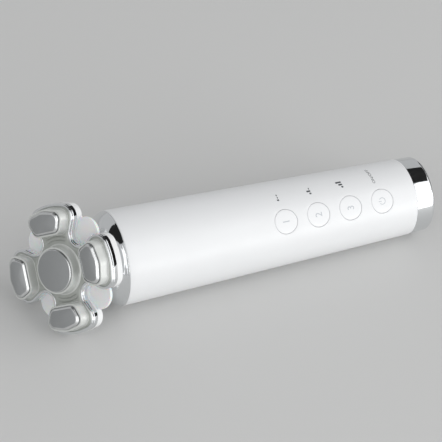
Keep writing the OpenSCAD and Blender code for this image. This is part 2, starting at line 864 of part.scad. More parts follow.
// Electrode of petal k: polished bevel around a crowned face, with a stud below
module petal_electrode(k) {
    foot = petal_face_h - electrode_t;
    edge_h = petal_face_h - crown;
    face = electrode(bevel_w);
    in_head() rotate(90 * k) color(satin_silver) union() {
        skin([
            ring(electrode(), foot), ring(electrode(), edge_h - bevel_h),
            for (part = [1, 0.75, 0.5, 0.25, 0.05])
                ring(shrunk(face, part), edge_h + crown * (1 - pow(part, 2)))
        ]);
        translate([stud_u, 0, plate_h - plate_t]) cylinder(h = foot - plate_h + plate_t + 0.2, d = stud_d);
    }
}

// Outline p drawn in towards its middle
function shrunk(p, part) = [for (q = p) mean(p) + part * (q - mean(p))];

module petal_rim_1() { petal_rim(0); }
module petal_rim_2() { petal_rim(1); }
module petal_rim_3() { petal_rim(2); }
module petal_rim_4() { petal_rim(3); }
module petal_electrode_1() { petal_electrode(0); }
module petal_electrode_2() { petal_electrode(1); }
module petal_electrode_3() { petal_electrode(2); }
module petal_electrode_4() { petal_electrode(3); }

handle_shell();
end_cap();
cap_plug();
cap_seal();
charge_board();
charge_socket();
chassis();
main_board();
board_screws();
tact_switches();
board_parts();
boost_transformer();
battery();
battery_tabs();
key_1();
key_2();
key_3();
power_key();
motor_cradle();
vibration_motor();
motor_shaft();
eccentric_weight();
head_lead();
collar();
collar_seal();
neck();
head_back_shell();
light_guide();
light_board();
head_leds();
head_screws();
contact_pins();
chrome_band();
face_plate();
centre_rim();
centre_electrode();
petal_rim_1();
petal_rim_2();
petal_rim_3();
petal_rim_4();
petal_electrode_1();
petal_electrode_2();
petal_electrode_3();
petal_electrode_4();
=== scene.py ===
"""Facial toning device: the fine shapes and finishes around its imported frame.

Lengths are millimetres. Most pieces are drawn in the handle's own frame, where z runs from the tail
cap to the head and x points out of the keys, or in the head's, whose z starts at the neck's bend.
HANDLE and HEAD take those places to the frame's metres.
"""
import json
import math

import bmesh
import bpy
import numpy as np
from mathutils import Matrix, Vector
from mathutils.geometry import tessellate_polygon


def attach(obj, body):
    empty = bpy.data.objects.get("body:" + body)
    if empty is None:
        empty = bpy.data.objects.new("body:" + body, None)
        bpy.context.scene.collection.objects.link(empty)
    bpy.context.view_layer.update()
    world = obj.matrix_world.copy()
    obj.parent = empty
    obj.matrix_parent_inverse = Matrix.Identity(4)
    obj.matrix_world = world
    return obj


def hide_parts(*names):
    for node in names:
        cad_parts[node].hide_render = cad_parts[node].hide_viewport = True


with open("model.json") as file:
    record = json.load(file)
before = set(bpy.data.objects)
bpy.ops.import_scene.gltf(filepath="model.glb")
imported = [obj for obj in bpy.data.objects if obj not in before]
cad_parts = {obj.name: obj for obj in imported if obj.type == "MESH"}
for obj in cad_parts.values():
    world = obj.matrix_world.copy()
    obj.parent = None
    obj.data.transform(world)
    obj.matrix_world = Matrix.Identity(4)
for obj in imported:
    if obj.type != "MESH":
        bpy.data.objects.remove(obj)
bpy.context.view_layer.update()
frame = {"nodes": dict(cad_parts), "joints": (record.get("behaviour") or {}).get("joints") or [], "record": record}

# ---- Driving dimensions, as in the part's source ----
MM = 0.001
CAP_LEN, HANDLE_LEN = 9.5, 140.5
FRONT_D, REAR_D = 42.0, 34.8
SHELL_WALL = 2.2
SEAM_LINE = 0.25                 # rounding at each end of the shell, which shows as a thin line
METAL_STEP = 0.1                 # the cap and the collar lie this much inside the shell's surface
CAP_EDGE_R = 2.0
KEY_D, KEY_GAP, KEY_PITCH = 10.7, 0.2, 16.0
POWER_KEY_Z = 26.9
KEY_FLANGE, KEY_FLANGE_T, KEY_SLACK = 1.0, 1.2, 0.1
KEY_FLANGE_DROP = 1.0            # extra depth of the flange, whose front follows the curve of the wall
KEY_FOOT_D, KEY_FOOT_LEN = 3.4, 1.6
KEY_SUNK = 0.03                  # the keys' tops lie this much under the shell's surface
DOME_R, DOME_DROP = 11.45, 2.87
COLLAR_BAND, COLLAR_T, COLLAR_SPIGOT = 1.0, 1.5, 6.0
NECK_D, NECK_T, BEND_REACH, HEAD_TILT = 18.8, 1.9, 15.1, 31.2
HEAD_D, HEAD_REACH = 56.0, 17.2
PETAL_FLARE, PETAL_CORNER_R, NOTCH_R = 30.0, 5.5, 4.7
PETAL_HALF_W, WAIST_U, TIP_ARC = 7.8, 13.4, 12.0
BAND_H, BACK_H, PLATE_DEPTH, PLATE_T, BAND_T = 3.4, 4.1, 5.6, 1.6, 1.2
BACK_GAP, BACK_EDGE_R, BACK_WALL, FLOOR_T = 0.1, 1.2, 1.8, 1.2
GUIDE_T, GUIDE_LOBE_R, GUIDE_DISC_R, GUIDE_BORE = 1.5, 6.9, 13.0, 5.0
CENTRE_D, PETAL_REACH, PETAL_LIFT = 18.4, 25.0, 1.0
RIM_W, PROUD = 0.9, 1.9
ELECTRODE_INNER_U, ELECTRODE_INNER_W, ELECTRODE_FLARE, ELECTRODE_TIP_ARC = 15.6, 6.4, 23.0, 12.0
ELECTRODE_RADII = [2.8, 3.0, 8.0, 3.0, 2.8]
FACE_SOFTENING = 0.4             # extra rounding of the satin face's corners
BEVEL_W, BEVEL_H, CROWN, SEAT_DEPTH = 1.05, 0.75, 0.7, 0.7
CENTRE_BEVEL, CENTRE_SEAT, CENTRE_STEP = 0.4, 1.1, 0.2
LEAN = 3.0                       # lean of the petals' electrodes towards the middle, in degrees
FACE_CROWN = 0.35                # the satin faces are crowned less than the solids'

SEAM_Z = CAP_LEN + HANDLE_LEN
BEND_Z = SEAM_Z + BEND_REACH
PLATE_H = HEAD_REACH - PLATE_DEPTH
BAND_H0 = PLATE_H - BAND_H
BACK_H0 = BAND_H0 - BACK_H
FLOOR_H = BACK_H0 + FLOOR_T
PETAL_FACE_H = HEAD_REACH + PETAL_LIFT
PETAL_RIM_H = PETAL_FACE_H - PROUD
CENTRE_RIM_H = HEAD_REACH - CROWN - CENTRE_BEVEL - CENTRE_STEP

TURN = 3.0                       # largest turn between two points of a round outline, in degrees
ROUND = 128                      # points round a lathed piece
CREASE = math.radians(34)        # edges that bend more than this stay sharp


def handle_matrix():
    """From the handle's frame to the frame's metres, by the motor's axis and the keys' strokes."""
    axes = {joint["name"]: Vector(joint["axis"]).normalized() for joint in frame["joints"]}
    mounts = {mount["name"]: mount for mount in frame["record"]["mounts"]}
    out, along = -axes["key_1_press"], axes["motor_spin"]
    turn = Matrix([out, along.cross(out), along]).transposed().to_4x4()
    return Matrix.Translation(mounts["charge_port"]["pos_m"]) @ turn @ Matrix.Scale(MM, 4)


HANDLE = handle_matrix()
HEAD = HANDLE @ Matrix.Translation((0, 0, BEND_Z)) @ Matrix.Rotation(math.radians(HEAD_TILT), 4, "Y")


# ---- Outlines ----

def outer_r(z):
    return (REAR_D + (FRONT_D - REAR_D) * (z - CAP_LEN) / HANDLE_LEN) / 2


def inner_r(z):
    return outer_r(z) - SHELL_WALL


def key_z(i):
    """Place of key i along the handle, counted from the power key towards the head."""
    return POWER_KEY_Z + i * KEY_PITCH


def unit(v):
    return v / np.linalg.norm(v)


def turned(p, degrees):
    c, s = math.cos(math.radians(degrees)), math.sin(math.radians(degrees))
    return np.array([p[0] * c - p[1] * s, p[0] * s + p[1] * c])


def corner_arc(corner, back, ahead, radius):
    """Arc that rounds a corner, whose sides run off along the unit vectors back and ahead."""
    if radius <= 0:
        return [corner]
    half = math.acos(np.clip(back @ ahead, -1, 1)) / 2
    centre = corner + unit(back + ahead) * radius / math.sin(half)
    start = corner + back * radius / math.tan(half) - centre
    end = corner + ahead * radius / math.tan(half) - centre
    first = math.atan2(start[1], start[0])
    sweep = math.remainder(math.atan2(end[1], end[0]) - first, math.tau)
    steps = max(3, round(abs(math.degrees(sweep)) / TURN))
    angles = first + sweep * np.arange(steps + 1) / steps
    return [centre + radius * np.array([math.cos(a), math.sin(a)]) for a in angles]


def rounded(corners, radii, inset=0.0):
    """Closed outline with rounded corners, moved inwards by inset where it runs counter-clockwise."""
    corners = np.asarray(corners, float)
    ahead = np.array([unit(v) for v in np.roll(corners, -1, 0) - corners])
    come = np.roll(ahead, 1, 0)
    left = np.stack([-ahead[:, 1], ahead[:, 0]], 1)
    left_come = np.roll(left, 1, 0)
    moved = corners + (left + left_come) * inset / (1 + (left * left_come).sum(1))[:, None]
    points = []
    for i, corner in enumerate(moved):
        bend = math.copysign(1, come[i] @ np.array([ahead[i][1], -ahead[i][0]]))
        radius = max(0.05, radii[i] - bend * inset) if radii[i] else 0
        points.extend(corner_arc(corner, -come[i], ahead[i], radius))
    return np.array(points)


def side_line(half_w, at, flare):
    """Half width of a shape that spreads by an angle: its value at 0 and its slope."""
    slope = math.tan(math.radians(flare))
    return half_w - slope * at, slope


def tip_corner(reach, tip_arc, start, slope):
    """Where a petal's side meets the tangent of its tip."""
    c, s = math.cos(math.radians(tip_arc)), math.sin(math.radians(tip_arc))
    u = (reach - s * start) / (c + s * slope)
    return np.array([u, start + slope * u])


PETAL_SIDE = side_line(PETAL_HALF_W, WAIST_U, PETAL_FLARE)
NOTCH_U = PETAL_SIDE[0] / (1 - PETAL_SIDE[1])     # both coordinates of the corner between two petals
NOTCH_D = NOTCH_U * math.sqrt(2) + NOTCH_R / math.sin(math.radians(45 - PETAL_FLARE))


def petals(inset=0.0):
    """Outline of the four petals, moved inwards by inset."""
    tip = np.array([HEAD_D / 2 / math.cos(math.radians(TIP_ARC)), 0])
    side = tip_corner(HEAD_D / 2, TIP_ARC, *PETAL_SIDE)
    notch = np.full(2, NOTCH_U)
    one = [tip, side, notch, side[::-1]]
    corners = [turned(p, 90 * k) for k in range(4) for p in one]
    return rounded(corners, [HEAD_D / 2, PETAL_CORNER_R, NOTCH_R, PETAL_CORNER_R] * 4, inset)


def electrode(inset=0.0, softening=0.0):
    """Outline of the electrode on the first petal, moved inwards by inset, with its corners softened."""
    inner = np.array([ELECTRODE_INNER_U, ELECTRODE_INNER_W])
    side = side_line(ELECTRODE_INNER_W, ELECTRODE_INNER_U, ELECTRODE_FLARE)
    outer = tip_corner(PETAL_REACH, ELECTRODE_TIP_ARC, *side)
    tip = [PETAL_REACH / math.cos(math.radians(ELECTRODE_TIP_ARC)), 0]
    down = np.array([1, -1])
    radii = [r + softening for r in ELECTRODE_RADII]
    return rounded([inner * down, outer * down, tip, outer, inner], radii, inset)


def ring(outline, height):
    return np.column_stack([outline, np.full(len(outline), height)])


def circle(radius, height, points=ROUND):
    a = np.arange(points) * math.tau / points
    return np.column_stack([radius * np.cos(a), radius * np.sin(a), np.full(points, height)])


def arc(centre, radius, start, end, steps=8):
    """Points of a profile's arc, from one angle to another in degrees."""
    angles = np.radians(np.linspace(start, end, steps + 1))
    return [(centre[0] + radius * math.cos(a), centre[1] + radius * math.sin(a)) for a in angles]


# ---- Solids: a list of points and a list of faces ----

def skin(rings, closed=False, capped=True):
    """Skin over rings of equal count: closed back on the first, or with a fan over each end ring."""
    rings = np.asarray(rings)
    count, n = rings.shape[:2]
    points, foot = rings.reshape(-1, 3), count * n
    faces = []
    for k in range(count if closed else count - 1):
        a, b = k * n, (k + 1) % count * n
        faces += [(a + i, a + (i + 1) % n, b + (i + 1) % n, b + i) for i in range(n)]
    if capped and not closed:
        points = np.vstack([points, rings[0].mean(0), rings[-1].mean(0)])
        faces += [(foot, (i + 1) % n, i) for i in range(n)]
        faces += [(foot + 1, foot - n + i, foot - n + (i + 1) % n) for i in range(n)]
    return points, faces


def flat(outline, holes):
    """Level face inside an outline, around holes that touch neither it nor one another."""
    loops = [outline, *holes]
    faces = tessellate_polygon([[Vector(p) for p in loop] for loop in loops])
    return np.vstack(loops), faces


def lathe(profile, closed=False):
    """Solid turned from a profile of (radius, z)."""
    return skin([circle(r, z) for r, z in profile], closed)


def piece(name, solids, place, body, finishes, replaces=(), polished=()):
    """One mesh from solids, with faces whose numbers are in polished on the second finish."""
    made = bmesh.new()
    for points, faces in solids:
        corners = [made.verts.new(place @ Vector(p)) for p in points]
        for face in faces:
            made.faces.new([corners[i] for i in face]).smooth = True
    made.faces.ensure_lookup_table()
    for i in polished:
        made.faces[i].material_index = 1
    bmesh.ops.remove_doubles(made, verts=made.verts, dist=1e-7)
    bmesh.ops.recalc_face_normals(made, faces=made.faces)
    mesh = bpy.data.meshes.new(name)
    made.to_mesh(mesh)
    made.free()
    mesh.set_sharp_from_angle(angle=CREASE)
    for finish in finishes:
        mesh.materials.append(finish)
    shown = bpy.data.objects.new(name, mesh)
    bpy.context.scene.collection.objects.link(shown)
    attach(shown, body)
    if replaces:
        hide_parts(*replaces)


# ---- Finishes ----

def srgb(code):
    """Linear RGBA of an sRGB hex colour."""
    parts = [int(code[i:i + 2], 16) / 255 for i in (1, 3, 5)]
    return [c / 12.92 if c <= 0.04045 else ((c + 0.055) / 1.055) ** 2.4 for c in parts] + [1.0]


def add_node(tree, kind, inputs=(), **settings):
    """Adds a shader node. An input's value is a number, a colour, or the socket it is linked to."""
    made = tree.nodes.new("ShaderNode" + kind)
    for key, value in settings.items():
        setattr(made, key, value)
    for key, value in dict(inputs).items():
        if isinstance(value, bpy.types.NodeSocket):
            tree.links.new(value, made.inputs[key])
        else:
            made.inputs[key].default_value = value
    return made


def finish(name, colours, roughness, grain, relief, **surface):
    """Material whose colour and roughness drift between two values in patches of a grain's size.

    grain is the size in millimetres of the finest marks and relief their height. The surface
    settings go straight to the shader.
    """
    material = bpy.data.materials.new(name)
    material.use_nodes = True
    tree = material.node_tree
    tree.nodes.clear()
    place = add_node(tree, "TexCoord").outputs["Object"]
    fine = add_node(tree, "TexNoise", {"Vector": place, "Scale": 1 / (grain * MM), "Detail": 2.0})
    broad = add_node(tree, "TexNoise", {"Vector": place, "Scale": 1 / (40 * grain * MM), "Detail": 3.0})
    tint = add_node(tree, "Mix", {0: broad.outputs["Fac"], 6: srgb(colours[0]), 7: srgb(colours[1])},
                    data_type="RGBA")
    rough = add_node(tree, "MapRange", {"Value": broad.outputs["Fac"], "From Min": 0.3, "From Max": 0.7,
                                        "To Min": roughness[0], "To Max": roughness[1]})
    bump = add_node(tree, "Bump", {"Height": fine.outputs["Fac"], "Distance": relief * MM})
    shader = add_node(tree, "BsdfPrincipled", {"Base Color": tint.outputs[2], "Roughness": rough.outputs[0],
                                               "Normal": bump.outputs[0], **surface})
    add_node(tree, "OutputMaterial", {"Surface": shader.outputs[0]})
    return material


# White ABS from an etched mould: an even satin white with the faintest grain, drawn at 0.35 mm
WHITE_ABS = finish("satin_white_abs", ("#EFF0F1", "#EBECED"), (0.34, 0.42), 0.35, 0.003,
                   **{"Coat Weight": 0.15, "Coat Roughness": 0.3})
# Key caps come from a smoother mould, so they shine a little more than the shell round them
KEY_ABS = finish("key_abs", ("#F0F1F2", "#EDEEEF"), (0.30, 0.36), 0.35, 0.002,
                 **{"Coat Weight": 0.2, "Coat Roughness": 0.25})
# The back of the head is gloss white ABS
GLOSS_ABS = finish("gloss_white_abs", ("#F2F3F3", "#EFF0F0"), (0.16, 0.22), 0.6, 0.002,
                   **{"Coat Weight": 0.4, "Coat Roughness": 0.08})
# Chrome plating on ABS: a mirror with a very slight waviness of the moulding under it
CHROME = finish("chrome_plating", ("#E4E6E7", "#DFE1E3"), (0.03, 0.06), 2.5, 0.002, Metallic=1.0)
# One pearl lacquer on the plate and its pads, mica flake in a clear coat, flake drawn at 0.3 mm. The plate's copy
# is darkened as painted shade and the pads' copy lightened as painted light where their rounded rims catch the
# lamps
PEARL_PAINTED_SHADE = finish("pearl_lacquer_painted_shade", ("#B4B7B2", "#ACAFAA"), (0.30, 0.36), 0.3, 0.003,
                      **{"Metallic": 0.35, "Coat Weight": 0.4, "Coat Roughness": 0.15})
# The pads' copy of the plate's pearl lacquer, lightened as painted light
PEARL_PAINTED_LIGHT = finish("pearl_lacquer_painted_light", ("#DDDFDC", "#D6D8D5"), (0.30, 0.36), 0.3, 0.003,
                     **{"Metallic": 0.2, "Coat Weight": 0.4, "Coat Roughness": 0.15})
# Satin plating of the electrodes, over fine bead blasting, drawn at 0.25 mm
SATIN_SILVER = finish("satin_plating", ("#AAACAD", "#A1A3A4"), (0.36, 0.42), 0.25, 0.004, Metallic=0.9)
# The electrodes' bevels are polished back to a mirror
POLISHED_BEVEL = finish("polished_plating", ("#DDDEDE", "#D6D8D8"), (0.24, 0.30), 1.5, 0.001, Metallic=1.0)
# Milky polycarbonate that spreads the lamps' light
MILKY = finish("milky_polycarbonate", ("#F6F9FA", "#F2F6F8"), (0.3, 0.36), 0.8, 0.002,
               **{"Transmission Weight": 0.03, "Subsurface Weight": 0.4, "Subsurface Scale": 0.002})
# Printing ink: pale grey on the keys and charcoal beside them
PALE_INK = finish("pale_grey_ink", ("#C6CACE", "#C1C5CA"), (0.45, 0.5), 0.3, 0.001)
DARK_INK = finish("charcoal_ink", ("#55585B", "#4D5053"), (0.45, 0.5), 0.3, 0.001)

# Finishes of the pieces that stay as the frame has them, by the record's slot
INNER_FINISHES = {
    "white_abs": WHITE_ABS,
    "chrome_plating": CHROME,
    # The plate's and the pads' slots get one pearl lacquer, in a painted-shade copy and a painted-light copy
    "pearl_silver": PEARL_PAINTED_SHADE,
    "pearl_white": PEARL_PAINTED_LIGHT,
    "satin_silver": SATIN_SILVER,
    "milky_clear": MILKY,
    # Black-grey ABS of the chassis, straight from a textured mould
    "dark_abs": finish("charcoal_abs", ("#3E4043", "#36383B"), (0.45, 0.55), 0.5, 0.01),
    # Silicone rubber, matt and slightly dusty
    "silicone": finish("grey_silicone", ("#5F6367", "#55595D"), (0.6, 0.7), 0.4, 0.004),
    # Solder mask over glass fibre, whose weave shows as a faint relief
    "circuit_board": finish("green_solder_mask", ("#1F6B45", "#1A5F3D"), (0.3, 0.4), 0.6, 0.006),
    # Black nylon and epoxy of chips, switches and wire
    "black_part": finish("black_epoxy", ("#1F2022", "#18191B"), (0.4, 0.5), 0.4, 0.006),
    # Enamelled copper wire, with its grain drawn at 0.3 mm
    "copper_winding": finish("enamelled_copper", ("#B8733D", "#A86532"), (0.25, 0.35), 0.3, 0.02,
                             Metallic=1.0),
    # Bright zinc-plated steel
    "steel": finish("zinc_plated_steel", ("#B4B8BB", "#A9ADB0"), (0.25, 0.35), 0.4, 0.004, Metallic=1.0),
    # Nickel strip and contact pins
    "nickel": finish("nickel_plating", ("#CFCCC2", "#C3C0B6"), (0.2, 0.3), 0.4, 0.003, Metallic=1.0),
    # Shrink sleeve round the cell
    "cell_sleeve": finish("blue_shrink_sleeve", ("#2F73AC", "#286697"), (0.2, 0.3), 0.8, 0.006),
    # Clear epoxy of the lamps, slightly warm from the phosphor below
    "lamp_clear": finish("lamp_epoxy", ("#F4F6DA", "#EEF0D2"), (0.1, 0.15), 0.5, 0.002,
                         **{"Transmission Weight": 0.4}),
}


def finish_frame_nodes():
    for part in frame["record"]["subparts"]:
        mesh = frame["nodes"][part["node"]].data
        mesh.materials.clear()
        mesh.materials.append(INNER_FINISHES[part["material_slot"]])


# ---- Handle shell and keys ----

STRIP = 16                       # millimetre squares across the strip that holds the key holes
SIDE_STEPS = 100                 # steps round the rest of the shell


def on_shell(y, z, inward=0.0):
    """Point of the shell's surface over y and z, or inward of it."""
    return np.array([math.sqrt((outer_r(z) - inward) ** 2 - y ** 2), y, z])


def shell_ring(r, z):
    """Ring of the shell: the strip in steps of a millimetre, then the rest in even angles."""
    half = STRIP / 2
    strip = [(math.sqrt(r * r - y * y), y) for y in np.linspace(-half, half, STRIP + 1)]
    first = math.asin(half / r)
    angles = np.linspace(first, math.tau - first, SIDE_STEPS + 1)[1:-1]
    rest = [(r * math.cos(a), r * math.sin(a)) for a in angles]
    return ring(np.array(strip + rest), z)


def cell_edge(z):
    """The square round the key hole at z, a point each millimetre, from its low corner."""
    half, steps = STRIP // 2, range(STRIP)
    sides = [[(-half + k, -half) for k in steps], [(half, -half + k) for k in steps],
             [(half - k, half) for k in steps], [(-half, half - k) for k in steps]]
    return np.array([(y, z + along) for side in sides for y, along in side])


def hole_skin(z):
    """The shell's surfaces round one key hole and the hole's wall, between the two squares."""
    gap, lip = 0.14, 0.08
    hole_r = KEY_D / 2 + gap
    square = cell_edge(z)
    count = len(square)
    angles = -0.75 * math.pi + np.arange(count) * math.tau / count
    unit_ring = np.column_stack([np.cos(angles), np.sin(angles)])

    def layer(share, radius, inward):
        flat = square * (1 - share) + (unit_ring * radius + [0, z]) * share
        return [on_shell(y, at, inward) for y, at in flat]

    spread = [0, 0.25, 0.5, 0.75]
    rings = [layer(s, hole_r + lip, 0) for s in spread]
    rings += [layer(1, hole_r + lip * (1 - math.sin(t)), lip * (1 - math.cos(t)))
              for t in np.radians([0, 30, 60, 90])]
    rings += [layer(1, hole_r, SHELL_WALL)]
    rings += [layer(s, hole_r, SHELL_WALL) for s in reversed(spread)]
    points, faces = skin(rings, closed=True)
    return points, faces[:-count]


def handle_shell():
    first, last = key_z(0) - STRIP / 2, key_z(3) + STRIP / 2
    rows = np.concatenate([
        np.linspace(CAP_LEN + SEAM_LINE, first, 4)[:-1], np.arange(first, last + 0.5),
        np.linspace(last, SEAM_Z - SEAM_LINE, 20)[1:]])
    rear_r, front_r = outer_r(rows[0]) - SEAM_LINE, outer_r(rows[-1]) - SEAM_LINE
    profile = arc((rear_r, rows[0]), SEAM_LINE, -90, 0)[:-1]
    start = len(profile)
    profile += [(outer_r(z), z) for z in rows] + arc((front_r, rows[-1]), SEAM_LINE, 0, 90)[1:]
    back = len(profile) + 1
    profile += [(inner_r(SEAM_Z), SEAM_Z)] + [(inner_r(z), z) for z in rows[::-1]]
    profile += [(inner_r(CAP_LEN), CAP_LEN)]
    rings = [shell_ring(r, z) for r, z in profile]
    points, faces = skin(rings, closed=True)
    n = len(rings[0])
    z_of = [z for _, z in profile]

    def in_strip(face):
        k, i = divmod(face[0], n)
        layers = start <= k < len(profile) - 1 and not start + len(rows) - 1 <= k < back
        middle = (z_of[k] + z_of[(k + 1) % len(z_of)]) / 2
        return layers and i < STRIP and first < middle < last

    tube = points, [face for face in faces if not in_strip(face)]
    holes = [hole_skin(key_z(i)) for i in range(4)]
    piece("shell_of_handle", [tube, *holes], HANDLE, "device", [WHITE_ABS],
          ["handle_shell"])


def key_ring(z, radius, x_of):
    """Ring round the key's axis at z, with each point's height from x_of(y, z)."""
    angles = np.arange(96) * math.tau / 96
    flat = [(radius * math.cos(a), z + radius * math.sin(a)) for a in angles]
    return [(x_of(y, at), y, at) for y, at in flat]


def key_cap(name, i):
    """Key i: a cap that follows the shell, a flange behind the wall and a foot on the switch."""
    z, r, edge = key_z(i), KEY_D / 2, 0.16
    flange_x = inner_r(z) - KEY_SLACK - KEY_FLANGE_T
    foot_x, back_x = flange_x - KEY_FOOT_LEN, flange_x - KEY_FLANGE_DROP
    flange_r, foot_r = r + KEY_GAP + KEY_FLANGE, KEY_FOOT_D / 2
    top = [(s * r, KEY_SUNK) for s in (0.1, 0.3, 0.5, 0.7, 0.85)]
    top += [(r - edge + edge * math.sin(t), KEY_SUNK + edge * (1 - math.cos(t)))
            for t in np.radians(np.linspace(0, 90, 7))]
    top += [(r, SHELL_WALL + KEY_SLACK), (flange_r, SHELL_WALL + KEY_SLACK)]
    rings = [key_ring(z, rho, lambda y, at, down=down: on_shell(y, at, down)[0]) for rho, down in top]
    below = [(flange_r, back_x), (foot_r, back_x), (foot_r, foot_x)]
    rings += [key_ring(z, rho, lambda y, at, x=x: x) for rho, x in below]
    piece("cap_of_" + name, [skin(rings)], HANDLE, name, [KEY_ABS], [name])


# ---- Printed marks ----

INK_LIFT, INK_SINK = 0.02, 0.05  # how far the ink stands over the surface and reaches under it
INK_STEP = 0.4                   # edges of a mark longer than this are split to follow the curve
DIGIT_H, WORDS_H = 3.2, 1.3      # heights of the capitals


def flat_text(words, height):
    """Triangles of a text, in capitals of that height, with its middle at the origin."""
    curve = bpy.data.curves.new("mark", "FONT")
    curve.body, curve.align_x, curve.align_y, curve.resolution_u = words, "CENTER", "CENTER", 6
    holder = bpy.data.objects.new("mark", curve)
    mesh = holder.to_mesh()
    points = np.array([v.co[:2] for v in mesh.vertices])
    faces = [tuple(p.vertices) for p in mesh.polygons]
    holder.to_mesh_clear()
    bpy.data.objects.remove(holder)
    bpy.data.curves.remove(curve)
    low, high = points.min(0), points.max(0)
    return (points - (low + high) / 2) * height / (high[1] - low[1]), faces


def flat_arc(radius, width, start, end, steps=48):
    """Stroke along an arc."""
    angles = np.radians(np.linspace(start, end, steps + 1))
    points = [((radius + side * width / 2) * math.cos(a), (radius + side * width / 2) * math.sin(a))
              for a in angles for side in (-1, 1)]
    return np.array(points), [(2 * i, 2 * i + 1, 2 * i + 3, 2 * i + 2) for i in range(steps)]


def flat_bar(low, high):
    (x0, y0), (x1, y1) = low, high
    return np.array([(x0, y0), (x1, y0), (x1, y1), (x0, y1)], float), [(0, 1, 2, 3)]


def print_on_shell(name, shapes, z, y, body, ink, sunk=0.0):
    """Thin ink on the shell or a key, with each shape's up towards the head, centred at y and z."""
    made = bmesh.new()
    for points, faces in shapes:
        corners = [made.verts.new((u, v, 0)) for u, v in points]
        for face in faces:
            made.faces.new([corners[i] for i in face])
    bmesh.ops.remove_doubles(made, verts=made.verts, dist=1e-4)
    bmesh.ops.triangulate(made, faces=made.faces)
    long_edges = [e for e in made.edges if e.calc_length() > INK_STEP]
    bmesh.ops.subdivide_edges(made, edges=long_edges, cuts=3, use_grid_fill=True)
    bmesh.ops.triangulate(made, faces=made.faces)
    raised = bmesh.ops.extrude_face_region(made, geom=made.faces[:])["geom"]
    top = {v for v in raised if isinstance(v, bmesh.types.BMVert)}
    for v in made.verts:
        lift = INK_LIFT if v in top else -INK_SINK
        v.co = on_shell(y + v.co.x, z + v.co.y, sunk - lift)
    made.verts.index_update()
    solid = [tuple(v.co) for v in made.verts], [tuple(v.index for v in f.verts) for f in made.faces]
    made.free()
    piece(name, [solid], HANDLE, body, [ink])


def level_bars(count):
    """Three rising bars: as many as count stand full, the rest as short feet."""
    pitch, left, right, foot, rise, stub = 1.1, -1.5, -0.8, -1.35, 0.9, 0.45
    bars = []
    for k in range(3):
        height = rise + rise * k if k < count else stub
        bars.append(flat_bar((pitch * k + left, foot), (pitch * k + right, foot + height)))
    return bars


def power_sign():
    """Ring that is open at the top, with a bar in the opening."""
    radius, stroke, bar_foot = 1.45, 0.3, 0.35
    return [flat_arc(radius, stroke, 125, 415),
            flat_bar((-stroke / 2, bar_foot), (stroke / 2, radius + bar_foot))]


def printed_marks():
    level_y, level_ahead = 11.0, 1.5    # beside a key, on the side away from the table
    words_up, words_ahead = 0.8, 1      # the words' place, from the level marks' line and their key
    for i, digit in enumerate("321", start=1):
        name = f"key_{digit}"
        print_on_shell("number_" + digit, [flat_text(digit, DIGIT_H)], key_z(i), 0, name, PALE_INK,
                       KEY_SUNK)
        print_on_shell("level_mark_" + digit, level_bars(int(digit)), key_z(i) + level_ahead, level_y,
                       "device", DARK_INK)
    print_on_shell("power_sign", power_sign(), key_z(0), 0, "power_key", PALE_INK, KEY_SUNK)
    print_on_shell("on_off_words", [flat_text("ON/OFF", WORDS_H)], key_z(0) + words_ahead,
                   level_y + words_up, "device", DARK_INK)


# ---- Tail cap and collar ----

def slot_outline(grow):
    """Round-ended slot of the charging socket, as a ring of distances from its middle."""
    half_w, half_t = 4.7 + grow, 1.85 + grow
    reach = half_w - half_t
    points = []
    for a in np.arange(ROUND) * math.tau / ROUND:
        c, s = abs(math.cos(a)), abs(math.sin(a))
        flat = half_t / max(c, 1e-9)
        end = reach * s + math.sqrt(max(0, half_t ** 2 - (reach * c) ** 2))
        distance = flat if flat * s <= reach else end
        points.append((distance * math.cos(a), distance * math.sin(a)))
    return np.array(points)


def end_cap():
    """Mirror cup with a rounded end edge and the socket's slot in its flat end."""
    cap_r, plug_r, floor_z, lip = REAR_D / 2 - METAL_STEP, REAR_D / 2 - 1.6, 1.5, 0.2
    foot_r, flat_r = cap_r - 0.2, 8.0
    slot = [(0, floor_z), (0, lip), (lip * 0.3, lip * 0.3), (lip, 0)]
    rings = [ring(slot_outline(grow), z) for grow, z in slot]
    profile = [(flat_r, 0)] + arc((foot_r - CAP_EDGE_R, CAP_EDGE_R), CAP_EDGE_R, -90, 0, 16)
    profile += arc((cap_r - SEAM_LINE, CAP_LEN - SEAM_LINE), SEAM_LINE, 0, 90)
    profile += [(plug_r, CAP_LEN), (plug_r, floor_z)]
    rings += [circle(r, z) for r, z in profile]
    piece("mirror_end_cap", [skin(rings, closed=True)], HANDLE, "device", [CHROME],
          ["end_cap"])


def collar():
    """Mirror collar: a narrow sloping band beside the shell, then a dome with a hole for the neck."""
    base_r = FRONT_D / 2 - METAL_STEP
    low = SEAM_Z - DOME_DROP
    band_slope = 0.27            # from the foot of the band to the dome's start
    ring_r = base_r - band_slope - math.sqrt(DOME_R ** 2 - (COLLAR_BAND + DOME_DROP) ** 2)
    dome_start = math.degrees(math.asin((COLLAR_BAND + DOME_DROP) / DOME_R))
    spigot_r, bore, hole_edge = inner_r(SEAM_Z - COLLAR_SPIGOT) - 0.1, 2.0, 0.3
    inner_end = math.degrees(math.acos((spigot_r - bore - ring_r) / (DOME_R - COLLAR_T)))
    profile = arc((base_r - SEAM_LINE, SEAM_Z + SEAM_LINE), SEAM_LINE, -90, 0)
    profile += [(base_r - 0.2, SEAM_Z + COLLAR_BAND - 0.1)]
    profile += arc((ring_r, low), DOME_R, dome_start, 88, 48)
    profile += arc((NECK_D / 2 + 0.05 + hole_edge, low + DOME_R - hole_edge), hole_edge, 90, 180)
    profile += arc((ring_r, low), DOME_R - COLLAR_T, 92, inner_end, 24)
    profile += [(spigot_r - bore, SEAM_Z - COLLAR_SPIGOT), (spigot_r, SEAM_Z - COLLAR_SPIGOT),
                (spigot_r, SEAM_Z)]
    piece("mirror_collar", [lathe(profile, closed=True)], HANDLE, "device", [CHROME],
          ["collar"])


# ---- Neck and head ----

